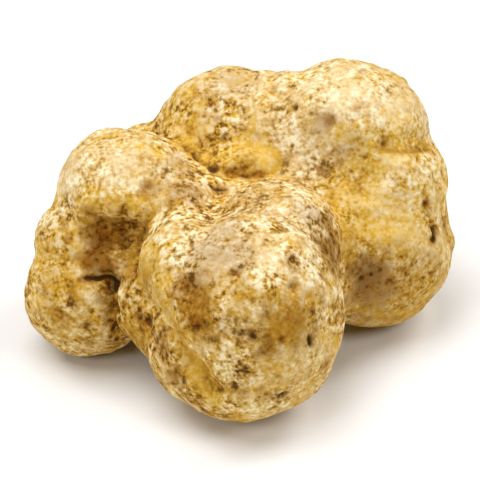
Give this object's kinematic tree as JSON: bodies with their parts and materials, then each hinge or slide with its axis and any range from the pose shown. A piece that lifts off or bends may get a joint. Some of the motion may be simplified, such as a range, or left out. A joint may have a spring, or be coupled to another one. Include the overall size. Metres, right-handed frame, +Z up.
{
  "type": "white truffle",
  "caption": "Whole white truffle, one knobbly lobed fruiting body with a cracked, pitted tan rind, lying on its flattened lower lobes.",
  "frame": {"origin": "middle of the footprint box, on the surface that the truffle rests on", "axes": "+Z up; +X to the right along the broad side; +Y from the large front lobe to the back"},
  "size_m": [0.0572, 0.052, 0.0337],
  "materials": {
    "rind": "dry, finely cracked and pitted rind, matt with a faint waxy sheen on the high spots, ochre in the hollows"
  },
  "bodies": {
    "root": {"truffle": "rind"}
  },
  "joints": []
}
